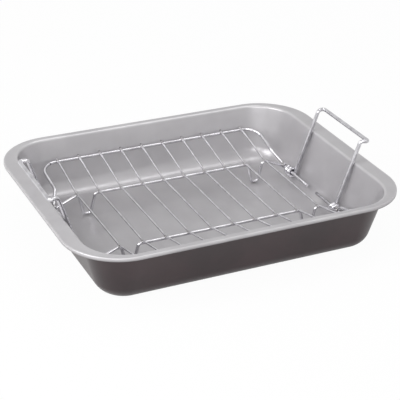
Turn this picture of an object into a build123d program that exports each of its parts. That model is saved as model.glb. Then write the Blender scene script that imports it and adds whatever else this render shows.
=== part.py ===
"""A pressed roasting pan with a lift-out wire rack that has two swinging handles.

Millimetres, +Z up. The origin is the centre of the pan's flat underside, X runs along the
long side and Y across it. Every wire of the rack is swept along straight runs and arcs.
"""

import os
from math import asin, atan2, cos, degrees, hypot, pi, radians, sin, tan

from build123d import *

# Pan

pan_length = 432.0
pan_width = 340.0
pan_height = 73.0
sheet = 1.0
end_flange = 19.25
side_flange = 8.25
wall_lean = 15.5
base_corner_radius = 32.0
bend_radius = 24.0
rim_corner_radius = 70.0
rim_inner_round = 4.0
lip_height = 4.6
lip_thickness = 1.8
lip_bevel = 0.9

# Rack wires, whose round sections are drawn with flats

rail_flat_count = 8
handle_flat_count = 8
cross_wire_diameter = 2.6
rail_diameter = 4.0
handle_wire_diameter = 5.0
cross_wire_count = 10
end_wire_inset = 3.6
cross_wire_overhang = 2.4
cross_wire_bend = 11.0
weld_depth = 0.2
floor_gap = 0.3

# Rails: heights are counted from the feet, insets from the axles and spreads from the pan's walls

base_rail_rise = 26.7
top_rail_rise = 16.5
top_rail_wall_gap = 9.4
raised_side_width = 72.5
axle_inset = 8.5
axle_rise = 12.0
axle_bend = 4.5
axle_end_gap = 24.0
foot_inset = 47.5
foot_top_half = 11.0
foot_bottom_half = 4.6
foot_bend = 4.0
foot_shoulder_bend = 4.2
foot_to_arm_run = 6.0
arm_start_bend = 7.0
arm_knee_inset = 11.0
arm_knee_drop = 8.4
arm_knee_bend = 9.0
bow_end_inset = 10.0
bow_end_bend = 20.0
bow_waist_inset = 12.5
bow_waist_offset = 21.5
bow_waist_bend = 16.0
bow_seat_bend = 5.0
bow_seat_overlap = 4.6

# Handles

leg_length = 92.5
leg_top_bend = 4.8
grip_rise = 2.6
grip_offset = 9.8
grip_overhang = 3.4
grip_bend = 3.4
eye_side_gap = 1.7
eye_clearance = 0.4
eye_turn_gap = 0.6
eye_turns = 1.75
handle_rest_gap = 0.3

# Worked out from the sizes above

lean_slope = tan(radians(wall_lean))
wall_across = sheet / cos(radians(wall_lean))
cavity_step = sheet * lean_slope - wall_across
wall_top_half = pan_length / 2 - end_flange
base_length = 2 * (wall_top_half - pan_height * lean_slope)
base_width = pan_width - 2 * (side_flange + pan_height * lean_slope)

foot_height = sheet + floor_gap + rail_diameter / 2
base_rail_height = foot_height + base_rail_rise
top_rail_height = base_rail_height + top_rail_rise
axle_height = foot_height + axle_rise
top_rail_spread = base_width / 2 + top_rail_height * lean_slope - wall_across - top_rail_wall_gap
base_rail_spread = top_rail_spread - raised_side_width
side_angle = atan2(top_rail_rise, raised_side_width)
wire_stack = (rail_diameter + cross_wire_diameter) / 2 - weld_depth

axle_distance = base_length / 2 - axle_inset
foot_distance = axle_distance - foot_inset
arm_start_distance = foot_distance + foot_top_half + foot_to_arm_run
arm_knee_distance = axle_distance - arm_knee_inset
cross_wire_pitch = 2 * (arm_start_distance - end_wire_inset) / (cross_wire_count - 1)

eye_radius = (rail_diameter + handle_wire_diameter) / 2 + eye_clearance
eye_pitch = handle_wire_diameter + eye_turn_gap
eye_length = eye_pitch * eye_turns + handle_wire_diameter / 2
leg_spread = base_rail_spread - axle_bend - eye_side_gap - eye_length

os.makedirs("parts", exist_ok=True)


def write(piece, name):
    """Label a finished piece and write it under that name."""
    piece.label = name
    export_step(piece, f"parts/{name}.step")


def bent_wire(points, bends, diameter, pins=()):
    """Return a wire with flats along straight runs and tangent arcs, round where its pins turn."""
    with BuildPart() as wire_piece:
        with BuildLine() as route:
            FilletPolyline(*points, radius=bends)
        start = Plane(origin=route.wire() @ 0, z_dir=route.wire() % 0)
        with BuildSketch(start):
            RegularPolygon(diameter / 2, rail_flat_count)
        sweep(path=route.wire())
        for near, far in pins:
            with BuildSketch(Plane(origin=near, z_dir=Vector(*far) - Vector(*near))):
                Circle(diameter / 2)
            extrude(amount=(Vector(*far) - Vector(*near)).length)
    return wire_piece.part


def rail_side(side):
    """Return the point maker for one long side, where side is 1 at the back and -1 in front."""
    return lambda x, y, z: (x, side * y, z)


# Pan hollow: the same taper one sheet further in, with a matching floor bend

with BuildPart() as pan_hollow:
    with BuildSketch(Plane.XY.offset(sheet)):
        RectangleRounded(
            base_length + 2 * cavity_step,
            base_width + 2 * cavity_step,
            base_corner_radius + cavity_step,
        )
    extrude(amount=pan_height - sheet, taper=-wall_lean)
    fillet(pan_hollow.faces().sort_by(Axis.Z)[0].edges(), bend_radius - sheet)

# Pressed pan: a tapered body, a flat flange and a turned-down lip

with BuildPart() as pan:
    with BuildSketch():
        RectangleRounded(base_length, base_width, base_corner_radius)
    extrude(amount=pan_height, taper=-wall_lean)
    fillet(pan.faces().sort_by(Axis.Z)[0].edges(), bend_radius)
    with BuildSketch(Plane.XY.offset(pan_height - sheet)):
        RectangleRounded(pan_length, pan_width, rim_corner_radius)
    extrude(amount=sheet)
    with BuildSketch(Plane.XY.offset(pan_height - lip_height)):
        RectangleRounded(pan_length, pan_width, rim_corner_radius)
        RectangleRounded(
            pan_length - 2 * lip_thickness,
            pan_width - 2 * lip_thickness,
            rim_corner_radius - lip_thickness,
            mode=Mode.SUBTRACT,
        )
    extrude(amount=lip_height)
    under_edges = pan.edges().filter_by_position(Axis.Z, pan_height - sheet, pan_height - sheet)
    fillet(under_edges.filter_by(lambda e: e.is_interior), rim_inner_round - sheet)
    add(pan_hollow.part, mode=Mode.SUBTRACT)
    rim_face = pan.faces().filter_by(Plane.XY).group_by(Axis.Z)[-1].sort_by(SortBy.AREA)[-1]
    fillet(rim_face.inner_wires()[0].edges(), rim_inner_round)
    rim_face = pan.faces().filter_by(Plane.XY).group_by(Axis.Z)[-1].sort_by(SortBy.AREA)[-1]
    chamfer(rim_face.outer_wire().edges(), lip_bevel)
write(pan.part, "pan")

# Cross wires: a flat middle, bent up towards both long sides

bed_height = base_rail_height + wire_stack
slope_turn = base_rail_spread + wire_stack * tan(side_angle / 2)
side_run = raised_side_width + cross_wire_overhang
wire_end_spread = slope_turn + side_run
wire_end_height = bed_height + side_run * tan(side_angle)
for number in range(cross_wire_count):
    x = (number - (cross_wire_count - 1) / 2) * cross_wire_pitch
    cross_wire = bent_wire(
        [
            (x, -wire_end_spread, wire_end_height),
            (x, -slope_turn, bed_height),
            (x, slope_turn, bed_height),
            (x, wire_end_spread, wire_end_height),
        ],
        cross_wire_bend,
        cross_wire_diameter,
    )
    write(cross_wire, f"cross_wire_{number + 1:02d}")

# Base rails: each carries the cross wires, bends down into two feet and ends in two round axles

axle_root = base_rail_spread - axle_bend
arm_drop = base_rail_height - axle_height
arm_slope = atan2(arm_drop - arm_knee_drop, arm_knee_inset)
for name, side in (("back", 1), ("front", -1)):
    at = rail_side(side)
    half = [
        at(foot_distance - foot_top_half, base_rail_spread, base_rail_height),
        at(foot_distance - foot_bottom_half, base_rail_spread, foot_height),
        at(foot_distance + foot_bottom_half, base_rail_spread, foot_height),
        at(foot_distance + foot_top_half, base_rail_spread, base_rail_height),
        at(arm_start_distance, base_rail_spread, base_rail_height),
        at(arm_knee_distance, base_rail_spread, base_rail_height - arm_knee_drop),
        at(axle_distance, base_rail_spread, axle_height),
        at(axle_distance, axle_end_gap / 2, axle_height),
    ]
    other_half = [(-px, py, pz) for px, py, pz in reversed(half)]
    half_bends = [
        foot_shoulder_bend,
        foot_bend,
        foot_bend,
        foot_shoulder_bend,
        arm_start_bend,
        arm_knee_bend,
        axle_bend,
    ]
    pins = [
        (at(x, axle_root, axle_height), at(x, axle_end_gap / 2, axle_height))
        for x in (-axle_distance, axle_distance)
    ]
    base_rail = bent_wire(other_half + half, half_bends[::-1] + half_bends, rail_diameter, pins)
    write(base_rail, f"{name}_base_rail")

# Top rails: each follows the raised edge, then bows down and in to rest on the base rail's arms

seat_share = 0.5
cross_x = arm_knee_distance + seat_share * arm_knee_inset
cross_z = base_rail_height - arm_knee_drop - seat_share * (arm_drop - arm_knee_drop)
seat_x = cross_x + (rail_diameter - weld_depth) * sin(arm_slope)
seat_z = cross_z + (rail_diameter - weld_depth) * cos(arm_slope)
bow_waist_height = base_rail_height + bow_waist_offset * tan(side_angle)
for name, side in (("back", 1), ("front", -1)):
    at = rail_side(side)
    half = [
        at(axle_distance - bow_end_inset, top_rail_spread, top_rail_height),
        at(axle_distance - bow_waist_inset, base_rail_spread + bow_waist_offset, bow_waist_height),
        at(seat_x, base_rail_spread + rail_diameter / 2, seat_z),
        at(seat_x, base_rail_spread - bow_seat_overlap, seat_z),
    ]
    other_half = [(-px, py, pz) for px, py, pz in reversed(half)]
    half_bends = [bow_end_bend, bow_waist_bend, bow_seat_bend]
    top_rail = bent_wire(other_half + half, half_bends[::-1] + half_bends, rail_diameter)
    write(top_rail, f"{name}_top_rail")

# Handle lean: the leg swings out from the axle until it meets the rim's rounded inner edge

rim_arc_x = wall_top_half - wall_across + rim_inner_round * (1 / cos(radians(wall_lean)) - lean_slope)
rim_arc_z = pan_height - rim_inner_round
reach_x = rim_arc_x - axle_distance
reach_z = rim_arc_z - axle_height
leg_offset = eye_radius + handle_wire_diameter / 2 + handle_rest_gap + rim_inner_round
handle_lean = atan2(reach_x, reach_z) - asin(leg_offset / hypot(reach_x, reach_z))
handle_frame = Plane(
    origin=(axle_distance, 0, axle_height),
    x_dir=(cos(handle_lean), 0, -sin(handle_lean)),
    z_dir=(sin(handle_lean), 0, cos(handle_lean)),
)

# Handle fold: the leg swings in until it meets the last cross wire

fold_x = (cross_wire_count - 1) / 2 * cross_wire_pitch - axle_distance
fold_z = bed_height - axle_height
fold_gap = handle_wire_diameter / 2 + handle_rest_gap + cross_wire_diameter / 2
fold_lean = atan2(fold_x, fold_z) + asin((eye_radius - fold_gap) / hypot(fold_x, fold_z))
fold_range = handle_lean - fold_lean
print(f"handle leans out {degrees(handle_lean):.2f} deg, folds in {degrees(fold_range):.2f} deg")


def eye_point(turn):
    """Return a point on the eye's winding, counted in turns from the foot of the leg."""
    angle = 2 * pi * turn
    local = Vector(eye_radius * cos(angle), leg_spread + eye_pitch * turn, -eye_radius * sin(angle))
    return handle_frame.from_local_coords(local)


def eye_direction(turn):
    """Return the winding's direction at that point, away from the leg."""
    angle = 2 * pi * turn
    around = 2 * pi * eye_radius
    local = Vector(-around * sin(angle), eye_pitch, -around * cos(angle))
    return (handle_frame.from_local_coords(local) - handle_frame.origin).normalized()


def arc_pair(start, start_direction, end, end_direction):
    """Join two directed points with two arcs that share their tangent."""
    chord = end - start
    turning = 2 * (1 - start_direction.dot(end_direction))
    along = 2 * chord.dot(start_direction + end_direction)
    reach = ((along**2 + 4 * turning * chord.dot(chord)) ** 0.5 - along) / (2 * turning)
    first = start + start_direction * reach
    second = end - end_direction * reach
    joint = (first + second) / 2
    TangentArc(start, joint, tangent=start_direction)
    TangentArc(joint, end, tangent=second - first)


# Handle: half a bail with its leg wound round the axle, mirrored over the middle of the grip

with BuildPart() as right_handle:
    with BuildLine() as handle_route:
        outline = [
            (eye_radius + grip_offset, 0, leg_length + grip_rise),
            (eye_radius + grip_offset, leg_spread + grip_overhang, leg_length + grip_rise),
            (eye_radius, leg_spread, leg_length),
            (eye_radius, leg_spread, 0),
        ]
        corners = [handle_frame.from_local_coords(corner) for corner in outline]
        FilletPolyline(*corners, radius=[grip_bend, leg_top_bend])
        for quarter in range(round(eye_turns * 4)):
            turn = quarter / 4
            begin = eye_direction(turn) if quarter else handle_frame.z_dir * -1
            arc_pair(eye_point(turn), begin, eye_point(turn + 1 / 4), eye_direction(turn + 1 / 4))
    grip_start = Plane(origin=handle_route.wire() @ 0, z_dir=handle_route.wire() % 0)
    with BuildSketch(grip_start):
        RegularPolygon(handle_wire_diameter / 2, handle_flat_count)
    sweep(path=handle_route.wire())
    mirror(about=Plane.XZ)
write(right_handle.part, "right_handle")

with BuildPart() as left_handle:
    mirror(right_handle.part, about=Plane.YZ)
write(left_handle.part, "left_handle")

# Least gap between neighbouring turns of the eye, measured on points along its middle line

sample_count = 240
samples = [eye_point(eye_turns * number / sample_count) for number in range(sample_count + 1)]
next_turn = round(sample_count / eye_turns * 3 / 4)
least = min(
    (samples[j] - samples[i]).length
    for i in range(len(samples))
    for j in range(i + next_turn, len(samples))
)
print(f"least gap between the eye's turns {least - handle_wire_diameter:.2f} mm")
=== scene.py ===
"""A grey non-stick roasting pan with a chrome wire rack and two bail handles, dressed for pictures.

Lengths are millimetres in the pan, the rack and the handles, and metres in the finishes and the
studio. A mesh is turned into metres when it is made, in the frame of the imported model: +Z up, X
along the pan, origin at the centre of its underside.
"""

import logging
import math
from dataclasses import dataclass, field
from enum import Enum
from typing import Any, Iterable, Union

import bpy
import numpy as np
from mathutils import Matrix, Vector


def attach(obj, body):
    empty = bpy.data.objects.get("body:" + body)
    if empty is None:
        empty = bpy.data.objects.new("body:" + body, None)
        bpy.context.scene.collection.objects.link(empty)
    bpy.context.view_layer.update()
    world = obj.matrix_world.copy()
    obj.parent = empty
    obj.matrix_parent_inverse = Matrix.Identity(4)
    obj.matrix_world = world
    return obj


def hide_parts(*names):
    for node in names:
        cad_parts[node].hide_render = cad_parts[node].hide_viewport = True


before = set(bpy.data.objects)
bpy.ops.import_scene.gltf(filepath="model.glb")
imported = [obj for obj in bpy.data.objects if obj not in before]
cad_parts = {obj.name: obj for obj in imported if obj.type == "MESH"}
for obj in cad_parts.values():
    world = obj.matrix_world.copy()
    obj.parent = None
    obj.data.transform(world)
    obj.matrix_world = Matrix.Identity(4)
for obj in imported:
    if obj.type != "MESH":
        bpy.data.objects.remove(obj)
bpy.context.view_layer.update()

Pair = tuple[float, float]
Triple = tuple[float, float, float]
Values = Union[float, np.ndarray]
Marks = dict[str, np.ndarray]
Socket = bpy.types.NodeSocket

MILLIMETRE = 0.001
PHOTO_PIXELS = 400.0
LOOK_AT = Vector((0.0, 0.0, 0.03))
NO_STRETCH: Triple = (1.0, 1.0, 1.0)
WHITE: Triple = (1.0, 1.0, 1.0)
# The colour sockets of a Mix node, by their numbers.
MIX_FIRST = 6
MIX_SECOND = 7
MIX_RESULT = 2
# The rings of a wire's cut end, and how deep it is rounded, as a share of the wire's radius.
CUT_TURNS = np.radians([20.0, 45.0, 70.0, 90.0])
CUT_DEPTH = 0.2
LOG = logging.getLogger("roasting_pan")


class Side(Enum):
    """Which long side of the rack a rail lies on."""

    BACK = 1.0
    FRONT = -1.0


class End(Enum):
    """Which short end of the rack a handle hangs on."""

    LEFT = -1.0
    RIGHT = 1.0


# Shader maths


class Term:
    """A node socket that carries one number, with the usual sums and products."""

    def __init__(self, paint: "Paint", socket: Socket) -> None:
        """Wrap a socket.

        Args:
            paint: the node tree that the socket belongs to.
            socket: the output socket.
        """
        self.paint = paint
        self.socket = socket

    def _with(self, operation: str, first: Any, second: Any) -> "Term":
        """Return a Math node's result.

        Args:
            operation: the Math node's operation.
            first: the value or term of its first socket.
            second: the value or term of its second socket.

        Returns:
            The result as a term.
        """
        made = self.paint.node("ShaderNodeMath", {"operation": operation}, {0: first, 1: second})
        return Term(self.paint, made.outputs[0])

    def __add__(self, other: Any) -> "Term":
        """Return self + other."""
        return self._with("ADD", self, other)

    def __rsub__(self, other: Any) -> "Term":
        """Return other - self."""
        return self._with("SUBTRACT", other, self)

    def __mul__(self, other: Any) -> "Term":
        """Return self * other."""
        return self._with("MULTIPLY", self, other)

    __radd__ = __add__
    __rmul__ = __mul__

    def larger(self, other: Any) -> "Term":
        """Return the larger of self and other."""
        return self._with("MAXIMUM", self, other)

    def between(self, low: float, high: float) -> "Term":
        """Return 0 below low, 1 above high and a smooth step between.

        Args:
            low: the value at which the step starts.
            high: the value at which it ends.

        Returns:
            The step as a term.
        """
        made = self.paint.node(
            "ShaderNodeMapRange",
            {"interpolation_type": "SMOOTHSTEP"},
            {"Value": self, "From Min": low, "From Max": high},
        )
        return Term(self.paint, made.outputs["Result"])


Feed = Union[Term, Socket, float, tuple]


class Paint:
    """The node tree of a material or a world under construction."""

    def __init__(self, owner: Union[bpy.types.Material, bpy.types.World]) -> None:
        """Start an empty node tree.

        Args:
            owner: the material or world.
        """
        self.owner = owner
        self.owner.use_nodes = True
        self.tree = self.owner.node_tree
        self.tree.nodes.clear()

    def node(self, kind: str, settings: dict[str, Any], feeds: dict[Any, Feed]) -> bpy.types.Node:
        """Add one node.

        Args:
            kind: the node's type.
            settings: its properties, with a ramp's stops under "stops".
            feeds: a value, term or socket for each named or numbered input.

        Returns:
            The new node.
        """
        made = self.tree.nodes.new(kind)
        for key, value in settings.items():
            if key == "stops":
                ramp = made.color_ramp
                while len(ramp.elements) < len(value):
                    ramp.elements.new(1.0)
                for element, (place, tone) in zip(ramp.elements, value):
                    element.position = place
                    element.color = (*tone, 1.0)
            else:
                setattr(made, key, value)
        for key, value in feeds.items():
            if isinstance(value, Term):
                self.tree.links.new(value.socket, made.inputs[key])
            elif isinstance(value, Socket):
                self.tree.links.new(value, made.inputs[key])
            else:
                made.inputs[key].default_value = value
        return made

    def cloud(self, scale: float, detail: float, stretch: Triple = NO_STRETCH) -> Term:
        """Return smooth noise from 0 to 1 on the object's own coordinates.

        Args:
            scale: how many features fit in a metre.
            detail: the number of finer layers.
            stretch: a factor along each axis.

        Returns:
            The noise as a term.
        """
        where = self.node("ShaderNodeTexCoord", {}, {}).outputs["Object"]
        if stretch != NO_STRETCH:
            turned = self.node("ShaderNodeMapping", {}, {"Vector": where, "Scale": stretch})
            where = turned.outputs["Vector"]
        made = self.node("ShaderNodeTexNoise", {}, {"Vector": where, "Scale": scale, "Detail": detail})
        return Term(self, made.outputs["Fac"])

    def marked(self, name: str) -> Term:
        """Return a number stored on the mesh's points.

        Args:
            name: the attribute's name.

        Returns:
            The number as a term.
        """
        made = self.node("ShaderNodeAttribute", {"attribute_name": name, "attribute_type": "GEOMETRY"}, {})
        return Term(self, made.outputs["Fac"])

    def blend(self, share: Feed, first: Feed, second: Feed) -> Socket:
        """Mix two colours.

        Args:
            share: how much of the second one shows.
            first: a colour, given as three numbers or a socket.
            second: the other colour.

        Returns:
            The mixed colour's socket.
        """
        feeds: dict[Any, Feed] = {0: share}
        for socket, colour in ((MIX_FIRST, first), (MIX_SECOND, second)):
            feeds[socket] = (*colour, 1.0) if isinstance(colour, tuple) else colour
        return self.node("ShaderNodeMix", {"data_type": "RGBA"}, feeds).outputs[MIX_RESULT]

    def relief(self, height: Term, depth: float, under: Union[Socket, None] = None) -> Socket:
        """Turn a height into a normal.

        Args:
            height: the height, from 0 to 1.
            depth: the depth in metres of a height of 1.
            under: the normal that it adds to.

        Returns:
            The normal's socket.
        """
        feeds: dict[Any, Feed] = {"Height": height, "Strength": 1.0, "Distance": depth}
        if under is not None:
            feeds["Normal"] = under
        return self.node("ShaderNodeBump", {}, feeds).outputs["Normal"]

    def finish(self, feeds: dict[str, Feed]) -> bpy.types.Material:
        """Close the tree with one Principled shader.

        Args:
            feeds: the shader's inputs.

        Returns:
            The finished material.
        """
        shader = self.node("ShaderNodeBsdfPrincipled", {}, feeds)
        self.node("ShaderNodeOutputMaterial", {}, {"Surface": shader.outputs["BSDF"]})
        return self.owner


# Finishes


@dataclass(frozen=True)
class NonStickCoat:
    """The satin grey coat baked on the pressed sheet, lighter inside than on the outer walls.

    A scale is the number of features in a metre, and a depth of relief is in metres.
    """

    light: Triple = (0.510, 0.499, 0.513)
    shade: Triple = (0.455, 0.443, 0.458)
    outer_light: Triple = (0.030, 0.012, 0.015)
    outer_shade: Triple = (0.014, 0.004, 0.006)
    # Painted highlight: this light grey, its strength and its patchiness brighten the rim's inner round and
    # the lip's top.
    edge_highlight: Triple = (0.70, 0.69, 0.70)
    edge_highlight_share: float = 0.7
    edge_highlight_patchiness: float = 0.4
    mottle_scale: float = 22.0
    mottle_span: Pair = (0.3, 0.7)
    mottle_depth: float = 0.00008
    grain_scale: float = 1400.0
    grain_share: float = 0.25
    grain_depth: float = 0.00002
    wiping_scale: float = 60.0
    wiping_stretch: Triple = (1.0, 9.0, 1.0)
    wiping_span: Pair = (0.45, 0.75)
    roughness: float = 0.285
    rough_mottle: float = 0.03
    rough_grain: float = 0.01
    rough_wiping: float = 0.02
    rough_outside: float = 0.02
    metal_inside: float = 0.42
    clear_coat_outside: float = 0.3
    clear_coat_roughness: float = 0.2
    refraction: float = 1.5

    def material(self) -> bpy.types.Material:
        """Build the coat: soft mottling, fine grain, a painted highlight in light grey along the rim and
        faint wiping marks.

        Returns:
            The material.
        """
        paint = Paint(bpy.data.materials.new("non_stick_coat"))
        outside = paint.marked("outside")
        edge = paint.marked("edge")
        mottle = paint.cloud(self.mottle_scale, detail=3.0).between(*self.mottle_span)
        grain = paint.cloud(self.grain_scale, detail=1.0)
        wiping = paint.cloud(self.wiping_scale, detail=2.0, stretch=self.wiping_stretch)
        wiping = wiping.between(*self.wiping_span)
        tone = mottle * (1 - self.grain_share) + grain * self.grain_share
        inner = paint.blend(tone, self.shade, self.light)
        outer = paint.blend(tone, self.outer_shade, self.outer_light)
        body = paint.blend(outside, inner, outer)
        # Painted highlight: the edge mark blends in the light grey, patchy with the mottling.
        patchy = mottle * self.edge_highlight_patchiness + (1 - self.edge_highlight_patchiness)
        colour = paint.blend(edge * patchy * self.edge_highlight_share, body, self.edge_highlight)
        rough = self.roughness + mottle * self.rough_mottle + grain * self.rough_grain
        rough = rough + wiping * self.rough_wiping + outside * self.rough_outside
        bump = paint.relief(grain, self.grain_depth, paint.relief(mottle, self.mottle_depth))
        return paint.finish(
            {
                "Base Color": colour,
                "Roughness": rough,
                "Normal": bump,
                "IOR": self.refraction,
                "Metallic": self.metal_inside - outside * self.metal_inside,
                "Coat Weight": outside * self.clear_coat_outside,
                "Coat Roughness": self.clear_coat_roughness,
            }
        )


@dataclass(frozen=True)
class ChromePlate:
    """Bright chrome on drawn steel wire, a little dull and brown round the welds.

    A scale is the number of features in a metre, and a depth of relief is in metres.
    """

    bright: Triple = (0.71, 0.705, 0.73)
    dull: Triple = (0.56, 0.55, 0.575)
    welded: Triple = (0.30, 0.28, 0.26)
    welded_share: float = 0.7
    cloud_scale: float = 90.0
    cloud_span: Pair = (0.3, 0.75)
    cloud_depth: float = 0.00004
    grain_scale: float = 2600.0
    grain_depth: float = 0.00001
    roughness: float = 0.14
    rough_cloud: float = 0.06
    rough_grain: float = 0.04
    rough_weld: float = 0.20

    def material(self) -> bpy.types.Material:
        """Build the plating: cloudy brightness, fine drawing marks and duller welds.

        Returns:
            The material.
        """
        paint = Paint(bpy.data.materials.new("chrome_plate"))
        weld = paint.marked("weld")
        cloud = paint.cloud(self.cloud_scale, detail=2.0).between(*self.cloud_span)
        grain = paint.cloud(self.grain_scale, detail=1.0)
        plated = paint.blend(cloud, self.bright, self.dull)
        colour = paint.blend(weld * self.welded_share, plated, self.welded)
        rough = self.roughness + cloud * self.rough_cloud + grain * self.rough_grain
        rough = rough + weld * self.rough_weld
        bump = paint.relief(grain, self.grain_depth, paint.relief(cloud, self.cloud_depth))
        return paint.finish({"Base Color": colour, "Roughness": rough, "Metallic": 1.0, "Normal": bump})


# Meshes


@dataclass
class Patch:
    """A tube-like grid of points, closed round its second index, with a pole at either end."""

    points: np.ndarray
    start: np.ndarray
    stop: np.ndarray
    marks: Marks = field(default_factory=dict)

    def arrays(self, first: int) -> tuple[np.ndarray, np.ndarray, np.ndarray]:
        """Number the grid's faces.

        Args:
            first: the number of the patch's first point in the whole mesh.

        Returns:
            The points, the four-sided faces and the three-sided faces at the poles.
        """
        rows, around = self.points.shape[:2]
        number = first + np.arange(rows * around).reshape(rows, around)
        turned = np.roll(number, -1, axis=1)
        quads = np.stack([number[:-1], turned[:-1], turned[1:], number[1:]], axis=-1).reshape(-1, 4)
        low = np.full(around, first + rows * around)
        fan_low = np.stack([low, turned[0], number[0]], axis=-1)
        fan_high = np.stack([low + 1, number[-1], turned[-1]], axis=-1)
        places = np.concatenate([self.points.reshape(-1, 3), self.start[None], self.stop[None]])
        return places, quads, np.concatenate([fan_low, fan_high])

    def mark(self, name: str) -> np.ndarray:
        """Return a stored number for every point, poles included.

        Args:
            name: the attribute's name.

        Returns:
            One number a point.
        """
        rows, around = self.points.shape[:2]
        values = np.broadcast_to(self.marks.get(name, np.zeros(rows))[:, None], (rows, around)).reshape(-1)
        return np.concatenate([values, values[:1], values[-1:]])


def make_piece(name: str, patches: list[Patch], marks: Iterable[str]) -> bpy.types.Object:
    """Make one mesh object from closed patches, with every face outwards.

    With corners p0 to p3 counted from the patch's middle, the sum of p0 . (p2 x (p3 - p1)) over its
    four-sided faces is near six times its volume. Where that is negative, its faces are turned round.

    Args:
        name: the object's name.
        patches: its closed surfaces, in millimetres.
        marks: the names of the numbers stored on its points.

    Returns:
        The object, at the origin.
    """
    places, faces, first = [], [], 0
    for patch in patches:
        points, quads, fans = patch.arrays(first)
        corners = (points - points.mean(axis=0))[quads - first]
        swept = (corners[:, 0] * np.cross(corners[:, 2], corners[:, 3] - corners[:, 1])).sum()
        turn = 1 if swept > 0 else -1
        places.append(points)
        faces += quads[:, ::turn].tolist() + fans[:, ::turn].tolist()
        first += len(points)
    mesh = bpy.data.meshes.new(name)
    mesh.from_pydata((np.concatenate(places) * MILLIMETRE).tolist(), [], faces)
    for mark in marks:
        stored = mesh.attributes.new(mark, "FLOAT", "POINT")
        values = np.concatenate([patch.mark(mark) for patch in patches])
        stored.data.foreach_set("value", values.astype(np.float32))
    mesh.polygons.foreach_set("use_smooth", np.ones(len(faces), dtype=bool))
    mesh.update()
    piece = bpy.data.objects.new(name, mesh)
    bpy.context.scene.collection.objects.link(piece)
    return piece


def unit(vectors: np.ndarray) -> np.ndarray:
    """Return vectors of length 1 along the last index."""
    return vectors / np.linalg.norm(vectors, axis=-1, keepdims=True)


def rounded_route(points: list[Triple], bends: list[float], steps: int) -> np.ndarray:
    """Round a route of straight runs with arcs.

    At each corner the two runs leave with directions a and b at the angle q. The arc of radius r
    touches both at r / tan(q / 2) from the corner, and its centre lies on a + b. The arc's points
    turn evenly from one touching radius to the other.

    Args:
        points: the corners in order, with both ends.
        bends: the radius at each inner corner.
        steps: the number of runs in each arc.

    Returns:
        The route's points.
    """
    nodes = np.array(points, dtype=float)
    radius = np.array(bends, dtype=float)[:, None]
    corner = nodes[1:-1]
    back = unit(nodes[:-2] - corner)
    ahead = unit(nodes[2:] - corner)
    angle = np.arccos(np.clip((back * ahead).sum(axis=1, keepdims=True), -1, 1))
    touch = radius / np.tan(angle / 2)
    centre = corner + unit(back + ahead) * radius / np.sin(angle / 2)
    first = (corner + back * touch - centre)[:, None]
    last = (corner + ahead * touch - centre)[:, None]
    sweep = (np.pi - angle)[:, None]
    share = np.linspace(0, 1, steps + 1)[None, :, None]
    turned = first * np.sin((1 - share) * sweep) + last * np.sin(share * sweep)
    arcs = centre[:, None] + turned / np.sin(sweep)
    return np.concatenate([nodes[:1], arcs.reshape(-1, 3), nodes[-1:]])


def divided(route: np.ndarray, step: float) -> np.ndarray:
    """Put more points on a route's long runs, so that numbers stored on it can change there.

    The new points lie at even distances along the route, and its own points are kept. Distances
    are rounded to a thousandth of a millimetre, so that points that fall together become one.

    Args:
        route: the route's points.
        step: the distance between the new points.

    Returns:
        The route with all points in order.
    """
    travelled = np.concatenate([[0.0], np.linalg.norm(np.diff(route, axis=0), axis=1).cumsum()])
    stations = np.unique(np.concatenate([travelled, np.arange(step, travelled[-1], step)]).round(3))
    return np.stack([np.interp(stations, travelled, route[:, axis]) for axis in range(3)], axis=1)


def tube(route: np.ndarray, diameter: float, sides: int, marks: Union[Marks, None] = None) -> Patch:
    """Carry a circle along a route, with softly rounded ends.

    At each point the route's direction is the mean of its two neighbouring runs. One fixed
    direction, the one that stays furthest from all of these, gives the circle's first axis, and
    the circle is centre + r * (cos v * first + sin v * second). Each cut end is a flattened half
    ball: at the turn u its ring has the radius r * sin u and lies r * CUT_DEPTH * (1 - cos u) in.

    Args:
        route: the centre line's points.
        diameter: the wire's diameter.
        sides: the number of points round it.
        marks: numbers stored along the route.

    Returns:
        The closed tube.
    """
    radius = diameter / 2
    runs = unit(np.diff(route, axis=0))
    along = unit(np.concatenate([runs[:1], runs[:-1] + runs[1:], runs[-1:]]))
    tries = np.array(np.meshgrid([-1, 0, 1], [-1, 0, 1], [-1, 0, 1])).reshape(3, -1).T
    tries = unit(tries[np.abs(tries).sum(axis=1) > 0].astype(float))
    clear = np.linalg.norm(np.cross(along[:, None], tries[None]), axis=-1).min(axis=0)
    first = unit(np.cross(along, tries[clear.argmax()]))
    second = np.cross(along, first)
    taper = radius * np.sin(CUT_TURNS)
    depth = radius * CUT_DEPTH * (1 - np.cos(CUT_TURNS))[:, None]
    first_end = route[:1] + along[:1] * depth
    last_end = route[-1:] - along[-1:] * depth[::-1]
    centres = np.concatenate([first_end, route[1:-1], last_end])
    sizes = np.concatenate([taper, np.full(len(route) - 2, radius), taper[::-1]])
    cap = len(CUT_TURNS)
    picks = np.concatenate([np.zeros(cap, int), np.arange(1, len(route) - 1), np.full(cap, len(route) - 1)])
    turn = np.linspace(0, 2 * np.pi, sides, endpoint=False)[None, :, None]
    circle = np.cos(turn) * first[picks][:, None] + np.sin(turn) * second[picks][:, None]
    points = centres[:, None] + sizes[:, None, None] * circle
    stored = {name: values[picks] for name, values in (marks or {}).items()}
    return Patch(points, route[0], route[-1], stored)


def arc(centre: Pair, radius: float, start: float, stop: float, runs: int) -> np.ndarray:
    """Return an arc in a section: centre + radius * (cos u, sin u), with u turning evenly.

    Args:
        centre: its middle, outwards and up.
        radius: its radius.
        start: the first angle in degrees, with 0 outwards and 90 up.
        stop: the last angle in degrees.
        runs: the number of runs between its points.

    Returns:
        The points in two rows, outwards and up.
    """
    turn = np.radians(np.linspace(start, stop, runs + 1))
    return np.array([centre[0] + radius * np.cos(turn), centre[1] + radius * np.sin(turn)])


# The pan


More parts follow.
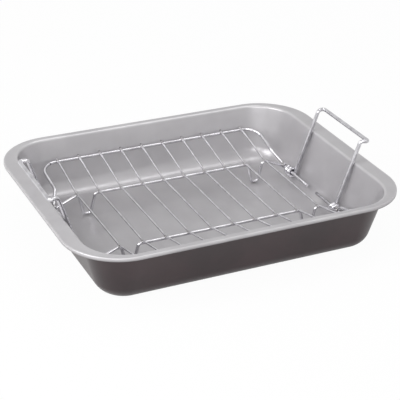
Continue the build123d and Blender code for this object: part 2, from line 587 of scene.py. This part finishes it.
@dataclass
class Pan:
    """One pressed sheet: flat floor, wide bend, leaning walls, flat rim and turned-down lip."""

    length: float = 432.0
    width: float = 340.0
    height: float = 73.0
    sheet: float = 1.0
    end_flange: float = 19.25
    side_flange: float = 8.25
    base_corner: float = 32.0
    wall_lean: float = math.radians(15.5)
    bend: float = 24.0
    rim_corner: float = 70.0
    rim_round: float = 4.0
    lip_height: float = 4.6
    lip_thickness: float = 1.8
    lip_round: float = 1.2
    lip_fillet: float = 0.6
    lip_margin: float = 1.2
    corner_runs: int = 28
    side_runs: int = 13
    wall_runs: int = 5
    bend_runs: int = 16
    inner_bend_runs: int = 24
    under_rim_runs: int = 8
    rim_runs: int = 12
    lip_runs: int = 8
    lip_top_runs: int = 6
    floor_shares: Triple = (0.02, 0.35, 0.7)
    under_rim_shade: float = 0.8
    lip_shade: float = 0.4
    # Strengths of the painted highlight on the lip's top and on the rim's inner round, and the start of the
    # sine that shapes the latter.
    lip_highlight: float = 0.5
    rim_highlight: float = 0.7
    rim_highlight_start: float = 0.3

    @property
    def base_length(self) -> float:
        """Length of the underside before its bend."""
        return self.length - 2 * (self.end_flange + self.height * math.tan(self.wall_lean))

    @property
    def base_width(self) -> float:
        """Width of the underside before its bend."""
        return self.width - 2 * (self.side_flange + self.height * math.tan(self.wall_lean))

    def outline(self) -> tuple[np.ndarray, np.ndarray]:
        """Return the shared way round every ring.

        A ring with half sizes (a, b) and corner radius r is mix * (a - r, b - r) + r * normal. In a
        corner the mix is that corner's signs, and along a side it runs evenly to the next corner's.

        Returns:
            The mix and the normal, two numbers each a point.
        """
        corner_turn = np.linspace(0, np.pi / 2, self.corner_runs + 1)
        run = np.linspace(0, 1, self.side_runs + 1)[1:-1, None]
        signs = np.array([[1, 1], [-1, 1], [-1, -1], [1, -1]], dtype=float)
        mix, normal = [], []
        for number, (here, ahead) in enumerate(zip(signs, np.roll(signs, -1, axis=0))):
            turn = corner_turn + number * np.pi / 2
            facing = np.stack([np.cos(turn), np.sin(turn)], axis=1)
            mix += [np.repeat(here[None], len(turn), axis=0), here + (ahead - here) * run]
            normal += [facing, np.repeat(facing[-1:], len(run), axis=0)]
        return np.concatenate(mix), np.concatenate(normal)

    def rings(
        self, around: Triple, out: Values, z: Values, outside: float, edge: Values = 0.0
    ) -> np.ndarray:
        """Return rings that stand out from an outline.

        Args:
            around: the outline's half length, half width and corner radius.
            out: how far each ring stands out from it.
            z: each ring's height.
            outside: how much of the outer colour the rings have.
            edge: how much painted highlight the rings have.

        Returns:
            A row for each ring: half length, half width, corner radius, height, outside and edge.
        """
        columns = [*(size + out for size in around), z, outside, edge]
        return np.stack(np.broadcast_arrays(*map(np.atleast_1d, columns)), axis=1).astype(float)

    def section(self) -> np.ndarray:
        """Return the sheet's section from the underside's middle, round the rim, to the floor's middle.

        The bend is an arc that runs on into the leaning wall, the wall a straight run, and the rim's
        round an arc that ends level. The inside has the same middles, one sheet further in.

        Returns:
            A row for each ring, as rings gives them.
        """
        lean = self.wall_lean
        tilt = math.degrees(lean)
        round_z = self.height - self.rim_round
        round_out = round_z * math.tan(lean) + (self.rim_round - self.sheet) / math.cos(lean)
        bend_out = self.bend * (math.tan(lean) - 1 / math.cos(lean))
        lip_foot = self.lip_thickness / 2
        under_rim_z = self.height - self.sheet
        bend, rim_round = (bend_out, self.bend), (round_out, round_z)
        outer_bend = arc(bend, self.bend, -90, -tilt, self.bend_runs)
        under_rim = arc(rim_round, self.rim_round - self.sheet, 180 - tilt, 90, self.under_rim_runs)
        lip_middle = (-lip_foot, self.height - self.lip_height + lip_foot)
        lip_low = arc(lip_middle, lip_foot, 180, 360, self.lip_runs)
        lip_corner = (-self.lip_round, self.height - self.lip_round)
        lip_top = arc(lip_corner, self.lip_round, 0, 90, self.lip_top_runs)
        over_rim = arc(rim_round, self.rim_round, 90, 180 - tilt, self.rim_runs)
        inner_bend = arc(bend, self.bend - self.sheet, -tilt, -90, self.inner_bend_runs)
        wall = np.linspace(0, 1, self.wall_runs + 1)[1:-1]
        outer_wall = outer_bend[:, -1:] + (under_rim[:, :1] - outer_bend[:, -1:]) * wall
        inner_wall = over_rim[:, -1:] + (inner_bend[:, :1] - over_rim[:, -1:]) * wall
        # A painted highlight along the rim's inner round, strongest part way round it and fading out where
        # it meets the wall.
        glint = self.rim_highlight * np.sin(np.linspace(self.rim_highlight_start, np.pi, self.rim_runs + 1))
        shares = np.array(self.floor_shares)[:, None]
        base = (self.base_length / 2, self.base_width / 2, self.base_corner)
        rim = (self.length / 2, self.width / 2, self.rim_corner)
        under = self.rings(base, bend_out, np.zeros(len(shares)), 1.0)
        under[:, :3] *= shares
        floor = self.rings(base, bend_out, np.full(len(shares), self.sheet), 0.0)
        floor[:, :3] *= shares[::-1]
        return np.concatenate(
            [
                under,
                self.rings(base, *outer_bend, 1.0),
                self.rings(base, *outer_wall, 1.0),
                self.rings(base, *under_rim, 1.0),
                self.rings(rim, -self.lip_thickness - self.lip_fillet, under_rim_z, self.under_rim_shade),
                self.rings(rim, -self.lip_thickness, under_rim_z - self.lip_fillet, self.under_rim_shade),
                self.rings(rim, *lip_low, self.lip_shade),
                # The lip's top and the rim's inner round carry the painted highlight in the edge mark.
                self.rings(rim, *lip_top, 0.0, self.lip_highlight),
                self.rings(rim, -self.lip_round - self.lip_margin, self.height, 0.0),
                self.rings(base, *over_rim, 0.0, glint),
                self.rings(base, *inner_wall, 0.0),
                self.rings(base, *inner_bend, 0.0),
                floor,
            ]
        )

    def build(self, coat: bpy.types.Material) -> bpy.types.Object:
        """Build and dress the pan.

        Args:
            coat: the non-stick material.

        Returns:
            The pan's object.
        """
        mix, normal = self.outline()
        rows = self.section()
        radius = rows[:, None, 2:3]
        flat = mix * (rows[:, None, :2] - radius) + radius * normal
        height = np.broadcast_to(rows[:, None, 3:4], (*flat.shape[:2], 1))
        points = np.concatenate([flat, height], axis=2)
        # The edge mark holds the painted highlight's strength.
        marks = {"outside": rows[:, 4], "edge": rows[:, 5]}
        patch = Patch(points, np.zeros(3), np.array([0.0, 0.0, self.sheet]), marks)
        piece = make_piece("pan_pressing", [patch], list(marks))
        piece.data.materials.append(coat)
        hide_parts("pan")
        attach(piece, "pan")
        return piece


# The rack


@dataclass
class Rack:
    """Two base rails with feet and axles, two bowed top rails and the bent cross wires."""

    pan: Pan
    cross_wire: float = 2.6
    rail: float = 4.0
    count: int = 10
    overhang: float = 2.4
    cross_bend: float = 11.0
    weld_depth: float = 0.2
    floor_gap: float = 0.3
    base_rise: float = 26.7
    top_rise: float = 16.5
    wall_gap: float = 9.4
    raised_width: float = 72.5
    axle_inset: float = 8.5
    axle_rise: float = 12.0
    axle_bend: float = 4.5
    axle_end: float = 12.0
    foot_inset: float = 47.5
    foot_top: float = 11.0
    foot_bottom: float = 4.6
    foot_bend: float = 4.0
    shoulder_bend: float = 4.2
    foot_to_arm: float = 6.0
    arm_start_bend: float = 7.0
    knee_inset: float = 11.0
    knee_drop: float = 8.4
    knee_bend: float = 9.0
    end_wire_inset: float = 3.6
    bow_end_inset: float = 10.0
    bow_end_bend: float = 20.0
    bow_waist_inset: float = 12.5
    bow_waist_offset: float = 21.5
    bow_waist_bend: float = 16.0
    bow_seat_bend: float = 5.0
    bow_seat_overlap: float = 4.6
    cross_weld: Triple = (1.75, 1.9, 0.75)
    seat_weld: Triple = (2.3, 2.4, 1.6)
    weld_runs: int = 8
    weld_sides: int = 14
    heat_share: float = 0.6
    heat_reach: float = 4.0
    heat_lift: float = 1.0
    mark_step: float = 3.0
    rail_arc_runs: int = 12
    rail_sides: int = 18
    cross_arc_runs: int = 10
    cross_sides: int = 14

    @property
    def foot_z(self) -> float:
        """Height of the feet's centre lines."""
        return self.pan.sheet + self.floor_gap + self.rail / 2

    @property
    def axle_z(self) -> float:
        """Height of the axles."""
        return self.foot_z + self.axle_rise

    @property
    def axle_x(self) -> float:
        """Distance of the axles from the middle."""
        return self.pan.base_length / 2 - self.axle_inset

    @property
    def foot_x(self) -> float:
        """Distance of the feet from the middle."""
        return self.axle_x - self.foot_inset

    @property
    def arm_x(self) -> float:
        """Distance at which the base rails start to drop."""
        return self.foot_x + self.foot_top + self.foot_to_arm

    @property
    def knee_x(self) -> float:
        """Distance at which the dropping arms steepen."""
        return self.axle_x - self.knee_inset

    @property
    def top_spread(self) -> float:
        """Distance of the top rails from the middle, a gap in from the pan's wall.

        Returns:
            The distance to their centre lines.
        """
        tilt = self.pan.wall_lean
        leaning = (self.base_z + self.top_rise) * math.tan(tilt) - self.pan.sheet / math.cos(tilt)
        return self.pan.base_width / 2 + leaning - self.wall_gap

    @property
    def base_spread(self) -> float:
        """Distance of the base rails from the middle."""
        return self.top_spread - self.raised_width

    @property
    def base_z(self) -> float:
        """Height of the base rails' centre lines."""
        return self.foot_z + self.base_rise

    @property
    def stack(self) -> float:
        """Height of a cross wire's centre line over its rail's."""
        return (self.rail + self.cross_wire) / 2 - self.weld_depth

    @property
    def slope(self) -> float:
        """Angle of the rack's rising sides."""
        return math.atan2(self.top_rise, self.raised_width)

    @property
    def bed_z(self) -> float:
        """Height of the cross wires' flat middle."""
        return self.base_z + self.stack

    def places(self) -> np.ndarray:
        """Return the cross wires' distances along the pan."""
        reach = self.arm_x - self.end_wire_inset
        return np.linspace(-reach, reach, self.count)

    def nugget(self, centre: Triple, halves: Triple) -> Patch:
        """Return the metal squeezed out at one weld.

        The lump is a ball stretched on each axis: (a sin u cos v, b sin u sin v, c cos u).

        Args:
            centre: the weld's middle.
            halves: its half length, half width and half thickness.

        Returns:
            The closed lump.
        """
        fall = np.linspace(0, np.pi, self.weld_runs + 1)[1:-1, None]
        turn = np.linspace(0, 2 * np.pi, self.weld_sides, endpoint=False)
        ball = [np.sin(fall) * np.cos(turn), np.sin(fall) * np.sin(turn), np.cos(fall) + 0 * turn]
        lump = np.stack(ball, axis=2) * np.array(halves)
        middle = np.array(centre)
        pole = np.array([0.0, 0.0, halves[2]])
        return Patch(lump + middle, middle + pole, middle - pole, {"weld": np.ones(len(fall))})

    def build_cross_wire(self, number: int, x: float, plate: bpy.types.Material) -> bpy.types.Object:
        """Build one cross wire with its four welds.

        Args:
            number: its place from the left, from 1.
            x: its distance along the pan.
            plate: the chrome material.

        Returns:
            The wire's object.
        """
        turn_y = self.base_spread + self.stack * math.tan(self.slope / 2)
        run = self.raised_width + self.overhang
        end_y = turn_y + run
        end_z = self.bed_z + run * math.tan(self.slope)
        corners = [(x, -end_y, end_z), (x, -turn_y, self.bed_z), (x, turn_y, self.bed_z), (x, end_y, end_z)]
        route = divided(rounded_route(corners, [self.cross_bend] * 2, self.cross_arc_runs), self.mark_step)
        lift = (self.rail - self.weld_depth) / 2
        top_y = self.top_spread - math.sin(self.slope) * lift
        top_z = self.base_z + self.top_rise + math.cos(self.slope) * lift
        seats = ((self.base_spread, self.base_z + lift), (top_y, top_z))
        hottest = ((self.base_spread, self.bed_z), (top_y, top_z + self.heat_lift))
        welds = [self.nugget((x, side * y, z), self.cross_weld) for side in (-1, 1) for y, z in seats]
        heat = self.weld_heat(route, [(x, side * y, z) for side in (-1, 1) for y, z in hottest])
        wire = tube(route, self.cross_wire, self.cross_sides, {"weld": heat})
        piece = make_piece(f"rack_cross_wire_{number:02d}", [wire, *welds], ["weld"])
        return self.dress(piece, f"cross_wire_{number:02d}", plate)

    def weld_heat(self, route: np.ndarray, welds: list[Triple]) -> np.ndarray:
        """Return how much heat each point of a route has taken.

        It falls off with the distance d to the nearest weld as heat_share * exp(-(d / heat_reach)^2).

        Args:
            route: the wire's points.
            welds: the welds' middles.

        Returns:
            One number a point.
        """
        distance = np.linalg.norm(route[:, None] - np.array(welds), axis=2).min(axis=1)
        return np.exp(-((distance / self.heat_reach) ** 2)) * self.heat_share

    def dress(self, piece: bpy.types.Object, node: str, plate: bpy.types.Material) -> bpy.types.Object:
        """Give a wire its plating and its place in the frame.

        Args:
            piece: the wire's object.
            node: the node that it stands for.
            plate: the chrome material.

        Returns:
            The same object.
        """
        piece.data.materials.append(plate)
        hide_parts(node)
        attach(piece, "rack")
        return piece

    def mirrored(self, half: list[Triple], bends: list[float]) -> np.ndarray:
        """Return a whole rail from its right half, mirrored over the middle.

        Args:
            half: the right half's corners, from the middle outwards.
            bends: the radius at each of its corners but the last.

        Returns:
            The route's points.
        """
        other = [(-x, y, z) for x, y, z in reversed(half)]
        return rounded_route(other + half, bends[::-1] + bends, self.rail_arc_runs)

    def build_base_rail(self, side: Side, plate: bpy.types.Material) -> bpy.types.Object:
        """Build a base rail with its two feet and two axle ends.

        Args:
            side: the long side that it lies on.
            plate: the chrome material.

        Returns:
            The rail's object.
        """
        y = self.base_spread * side.value
        half = [
            (self.foot_x - self.foot_top, y, self.base_z),
            (self.foot_x - self.foot_bottom, y, self.foot_z),
            (self.foot_x + self.foot_bottom, y, self.foot_z),
            (self.foot_x + self.foot_top, y, self.base_z),
            (self.arm_x, y, self.base_z),
            (self.knee_x, y, self.base_z - self.knee_drop),
            (self.axle_x, y, self.axle_z),
            (self.axle_x, self.axle_end * side.value, self.axle_z),
        ]
        foot_bends = [self.shoulder_bend, self.foot_bend, self.foot_bend, self.shoulder_bend]
        route = self.mirrored(half, [*foot_bends, self.arm_start_bend, self.knee_bend, self.axle_bend])
        name = f"{side.name.lower()}_base_rail"
        piece = make_piece(f"rack_{name}", [tube(route, self.rail, self.rail_sides)], ["weld"])
        return self.dress(piece, name, plate)

    def build_top_rail(self, side: Side, plate: bpy.types.Material) -> bpy.types.Object:
        """Build a top rail, bowed down at both ends on to the base rail's arms.

        Args:
            side: the long side that it lies on.
            plate: the chrome material.

        Returns:
            The rail's object.
        """
        arm_x = (self.knee_x + self.axle_x) / 2
        arm_z = (self.base_z - self.knee_drop + self.axle_z) / 2
        arm_slope = math.atan2(self.base_z - self.knee_drop - self.axle_z, self.knee_inset)
        seat_x = arm_x + (self.rail - self.weld_depth) * math.sin(arm_slope)
        seat_z = arm_z + (self.rail - self.weld_depth) * math.cos(arm_slope)
        top_z = self.base_z + self.top_rise
        waist_z = self.base_z + self.bow_waist_offset * math.tan(self.slope)
        y = side.value
        half = [
            (self.axle_x - self.bow_end_inset, y * self.top_spread, top_z),
            (self.axle_x - self.bow_waist_inset, y * (self.base_spread + self.bow_waist_offset), waist_z),
            (seat_x, y * (self.base_spread + self.rail / 2), seat_z),
            (seat_x, y * (self.base_spread - self.bow_seat_overlap), seat_z),
        ]
        bends = [self.bow_end_bend, self.bow_waist_bend, self.bow_seat_bend]
        route = divided(self.mirrored(half, bends), self.mark_step)
        weld_x, weld_y, weld_z = (arm_x + seat_x) / 2, y * self.base_spread, (arm_z + seat_z) / 2
        welds = [self.nugget((end.value * weld_x, weld_y, weld_z), self.seat_weld) for end in End]
        heat = self.weld_heat(route, [(end.value * seat_x, weld_y, seat_z) for end in End])
        rail = tube(route, self.rail, self.rail_sides, {"weld": heat})
        name = f"{side.name.lower()}_top_rail"
        piece = make_piece(f"rack_{name}", [rail, *welds], ["weld"])
        return self.dress(piece, name, plate)


# The handles


@dataclass
class BailHandle:
    """A wire bail: a bar, two legs and an eye wound round the axle at each foot."""

    end: End
    rack: Rack
    pan: Pan
    wire: float = 5.0
    leg_length: float = 92.5
    leg_bend: float = 4.8
    grip_rise: float = 2.6
    grip_offset: float = 9.8
    grip_overhang: float = 3.4
    grip_bend: float = 3.4
    eye_clearance: float = 0.4
    eye_side_gap: float = 1.7
    eye_gap: float = 0.6
    eye_turns: float = 1.75
    rest_gap: float = 0.3
    arc_runs: int = 12
    eye_points: int = 64
    sides: int = 20

    @property
    def leg_spread(self) -> float:
        """Distance of the legs from the middle of the axle."""
        eye_length = (self.wire + self.eye_gap) * self.eye_turns + self.wire / 2
        return self.rack.base_spread - self.rack.axle_bend - self.eye_side_gap - eye_length

    @property
    def eye_radius(self) -> float:
        """Radius of the winding's centre line."""
        return (self.rack.rail + self.wire) / 2 + self.eye_clearance

    def lean(self) -> float:
        """Return the leg's angle from upright when it leans on the rim's rounded inner edge.

        The edge's middle lies at the angle atan2(x, z) and the distance d from the axle. It stands
        off the leg's direction by s, the eye's, the wire's and the edge's radii and the gap
        together, so the lean is atan2(x, z) - asin(s / d).

        Returns:
            The angle in radians.
        """
        tilt = self.pan.wall_lean
        centre_z = self.pan.height - self.pan.rim_round
        out = (self.pan.rim_round - self.pan.sheet) / math.cos(tilt)
        centre_x = self.pan.base_length / 2 + centre_z * math.tan(tilt) + out
        reach_x = centre_x - self.rack.axle_x
        reach_z = centre_z - self.rack.axle_z
        apart = self.eye_radius + self.wire / 2 + self.rest_gap + self.pan.rim_round
        return math.atan2(reach_x, reach_z) - math.asin(apart / math.hypot(reach_x, reach_z))

    def half_route(self) -> np.ndarray:
        """Return half the bail in the leaning frame: across, along the axle, up the leg.

        The eye is a helix: (R cos 2 pi t, spread + pitch t, -R sin 2 pi t) for t up to the turns.

        Returns:
            The points from the bar's middle to the eye's cut end.
        """
        radius = self.eye_radius
        grip_x = radius + self.grip_offset
        grip_z = self.leg_length + self.grip_rise
        corners = [
            (grip_x, 0.0, grip_z),
            (grip_x, self.leg_spread + self.grip_overhang, grip_z),
            (radius, self.leg_spread, self.leg_length),
            (radius, self.leg_spread, 0.0),
        ]
        upper = rounded_route(corners, [self.grip_bend, self.leg_bend], self.arc_runs)[:-1]
        turns = np.linspace(0, self.eye_turns, self.eye_points)
        angle = 2 * np.pi * turns
        pitch = self.wire + self.eye_gap
        eye = [radius * np.cos(angle), self.leg_spread + pitch * turns, -radius * np.sin(angle)]
        return np.concatenate([upper, np.stack(eye, axis=1)])

    def build(self, plate: bpy.types.Material) -> bpy.types.Object:
        """Build and dress the handle.

        Args:
            plate: the chrome material.

        Returns:
            The handle's object.
        """
        half = self.half_route()[1:]
        local = np.concatenate([half[::-1] * np.array([1.0, -1.0, 1.0]), half])
        lean = self.lean()
        across = [math.cos(lean), 0.0, -math.sin(lean)]
        upwards = [math.sin(lean), 0.0, math.cos(lean)]
        axle = np.array([self.rack.axle_x, 0.0, self.rack.axle_z])
        route = axle + local @ np.array([across, [0.0, 1.0, 0.0], upwards])
        route[:, 0] *= self.end.value
        name = f"{self.end.name.lower()}_handle"
        piece = make_piece(f"{name}_bail", [tube(route, self.wire, self.sides)], ["weld"])
        piece.data.materials.append(plate)
        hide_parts(name)
        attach(piece, name)
        return piece


# The studio


@dataclass(frozen=True)
class Softbox:
    """One soft lamp: its name, its place, its width and height in metres and its power in watts."""

    name: str
    place: Triple
    size: Pair
    power: float


@dataclass
class Studio:
    """Floor, world, soft lamps and the camera.

    Lengths are metres, the focal length and the centre pixels, and the sensor's width millimetres.
    """

    azimuth: float = math.radians(25.858)
    elevation: float = math.radians(27.377)
    roll: float = math.radians(1.52)
    distance: float = 1.5993
    focal_length: float = 1266.7
    centre: Pair = (196.63, 201.66)
    sensor_width: float = 36.0
    far_limit: float = 50.0
    paper_reach: float = 12.0
    paper_grey: float = 0.86
    paper_seen: float = 0.96
    paper_mirrored: float = 0.3
    fill: float = 0.49
    room_tones: tuple[Pair, ...] = ((0.0, 1.0), (0.08, 1.0), (0.20, 0.80), (0.60, 0.76), (0.76, 1.0))
    lamps: tuple[Softbox, ...] = (
        Softbox("front_softbox", (-0.8, -2.0, 1.2), (1.8, 0.8), 18.0),
        Softbox("left_softbox", (-1.4, -0.2, 1.15), (1.3, 1.0), 19.0),
        Softbox("top_softbox", (0.56, 0.14, 2.0), (0.5, 1.2), 4.6),
    )

    def rays(self, paint: Paint) -> tuple[Term, Term]:
        """Return what kind of ray looks at a surface.

        Args:
            paint: the node tree that asks.

        Returns:
            1 for a ray from the camera, and 1 for a ray from a mirror or glass.
        """
        path = paint.node("ShaderNodeLightPath", {}, {}).outputs
        kinds = ("Camera", "Glossy", "Transmission")
        seen, glossy, passed = (Term(paint, path[f"Is {kind} Ray"]) for kind in kinds)
        return seen, glossy.larger(passed)

    def build_world(self) -> None:
        """Light the object softly from all round.

        The camera sees plain white. Mirrors see white above and below and a slightly dimmer room
        between, and everything else gets an even soft light.
        """
        air = Paint(bpy.data.worlds.new("studio_air"))
        bpy.context.scene.world = air.owner
        seen, mirrored = self.rays(air)
        where = air.node("ShaderNodeTexCoord", {}, {}).outputs["Generated"]
        height = air.node("ShaderNodeSeparateXYZ", {}, {0: where}).outputs["Z"]
        stops = [(place, (tone, tone, tone)) for place, tone in self.room_tones]
        room = air.node("ShaderNodeValToRGB", {"stops": stops}, {0: height}).outputs["Color"]
        soft = air.node("ShaderNodeBackground", {}, {"Color": (*WHITE, 1.0), "Strength": self.fill})
        shown = air.blend(seen, room, WHITE)
        clear = air.node("ShaderNodeBackground", {}, {"Color": shown, "Strength": 1.0})
        shares = {0: seen.larger(mirrored), 1: soft.outputs[0], 2: clear.outputs[0]}
        mix = air.node("ShaderNodeMixShader", {}, shares)
        air.node("ShaderNodeOutputWorld", {}, {"Surface": mix.outputs[0]})

    def build_floor(self) -> None:
        """Build the wide pale floor, white to the eye with a trace of shadow."""
        mesh = bpy.data.meshes.new("studio_floor")
        reach = self.paper_reach
        corners = [(-reach, -reach, 0), (reach, -reach, 0), (reach, reach, 0), (-reach, reach, 0)]
        mesh.from_pydata(corners, [], [(0, 1, 2, 3)])
        floor = bpy.data.objects.new("studio_floor", mesh)
        bpy.context.scene.collection.objects.link(floor)
        paper = Paint(bpy.data.materials.new("studio_paper"))
        shaded = paper.node("ShaderNodeBsdfDiffuse", {}, {"Color": (*[self.paper_grey] * 3, 1.0)})
        lit = paper.node("ShaderNodeEmission", {}, {"Color": (*WHITE, 1.0), "Strength": 1.0})
        seen, mirrored = self.rays(paper)
        share = seen * self.paper_seen + mirrored * self.paper_mirrored
        mix = paper.node("ShaderNodeMixShader", {}, {0: share, 1: shaded.outputs[0], 2: lit.outputs[0]})
        paper.node("ShaderNodeOutputMaterial", {}, {"Surface": mix.outputs[0]})
        mesh.materials.append(paper.owner)

    def add_lamp(self, softbox: Softbox) -> None:
        """Hang one soft lamp that faces the pan.

        Args:
            softbox: the lamp's name, place, size and power.
        """
        data = bpy.data.lights.new(softbox.name, "AREA")
        data.shape = "RECTANGLE"
        data.size, data.size_y = softbox.size
        data.energy = softbox.power
        lamp = bpy.data.objects.new(softbox.name, data)
        lamp.location = softbox.place
        lamp.rotation_euler = (LOOK_AT - Vector(softbox.place)).to_track_quat("-Z", "Y").to_euler()
        bpy.context.scene.collection.objects.link(lamp)

    def build_camera(self) -> None:
        """Place the camera at the photograph's angle."""
        turn, drop, roll = self.azimuth, self.elevation, self.roll
        ahead = Vector((math.sin(turn) * math.cos(drop), math.cos(turn) * math.cos(drop), -math.sin(drop)))
        level = Vector((math.cos(turn), -math.sin(turn), 0.0))
        upright = level.cross(ahead)
        right = level * math.cos(roll) + upright * math.sin(roll)
        up = upright * math.cos(roll) - level * math.sin(roll)
        data = bpy.data.cameras.new("photo_camera")
        data.sensor_width = self.sensor_width
        data.sensor_fit = "HORIZONTAL"
        data.lens = self.focal_length / PHOTO_PIXELS * self.sensor_width
        data.shift_x = 0.5 - self.centre[0] / PHOTO_PIXELS
        data.shift_y = self.centre[1] / PHOTO_PIXELS - 0.5
        data.clip_end = self.far_limit
        camera = bpy.data.objects.new("photo_camera", data)
        axes = Matrix((right, up, -ahead)).transposed().to_4x4()
        camera.matrix_world = Matrix.Translation(LOOK_AT - ahead * self.distance) @ axes
        bpy.context.scene.collection.objects.link(camera)
        bpy.context.scene.camera = camera

    def build(self) -> None:
        """Build the whole studio."""
        bpy.context.scene.view_settings.view_transform = "Standard"
        self.build_camera()
        self.build_world()
        self.build_floor()
        for softbox in self.lamps:
            self.add_lamp(softbox)


def main() -> None:
    """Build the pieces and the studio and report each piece."""
    logging.basicConfig(level=logging.INFO, format="%(name)s: %(message)s")
    coat = NonStickCoat().material()
    plate = ChromePlate().material()
    pan = Pan()
    rack = Rack(pan)
    made = [pan.build(coat)]
    for side in Side:
        made += [rack.build_base_rail(side, plate), rack.build_top_rail(side, plate)]
    made += [rack.build_cross_wire(number, float(x), plate) for number, x in enumerate(rack.places(), 1)]
    made += [BailHandle(end, rack, pan).build(plate) for end in End]
    for piece in made:
        LOG.info("%s: %d faces", piece.name, len(piece.data.polygons))
    Studio().build()


if __name__ == "__main__":
    main()
